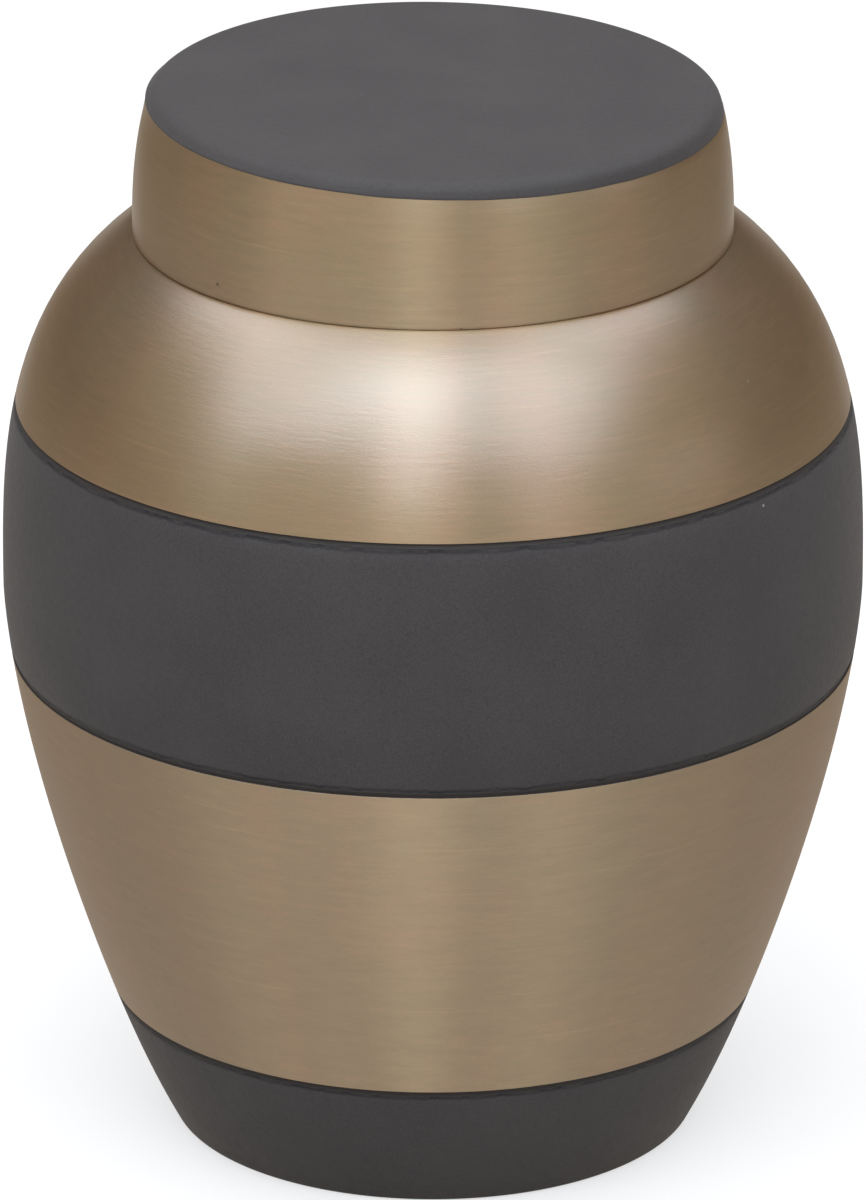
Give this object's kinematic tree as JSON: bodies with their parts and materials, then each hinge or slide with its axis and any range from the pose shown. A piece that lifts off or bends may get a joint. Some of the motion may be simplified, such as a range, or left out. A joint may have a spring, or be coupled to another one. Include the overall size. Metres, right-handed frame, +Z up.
{
  "type": "cremation urn",
  "caption": "Small round keepsake urn of brushed bronze-toned brass with slate painted bands, a hollow vessel closed by a flat lift-off lid.",
  "frame": {"origin": "centre of the standing ring on the underside of the vessel, on the turning axis", "axes": "+Z up along the turning axis, from the underside to the lid; X and Y are alike, because the urn is round"},
  "size_m": [0.0596, 0.0596, 0.075],
  "materials": {
    "vessel_bronze": "brushed round, bronze toned, lacquered, with satin slate paint bands laid in shallow grooves",
    "lid_bronze": "brushed round, bronze toned, lacquered, with a satin slate painted top"
  },
  "bodies": {
    "root": {"vessel": "vessel_bronze", "lid": "lid_bronze"}
  },
  "joints": []
}
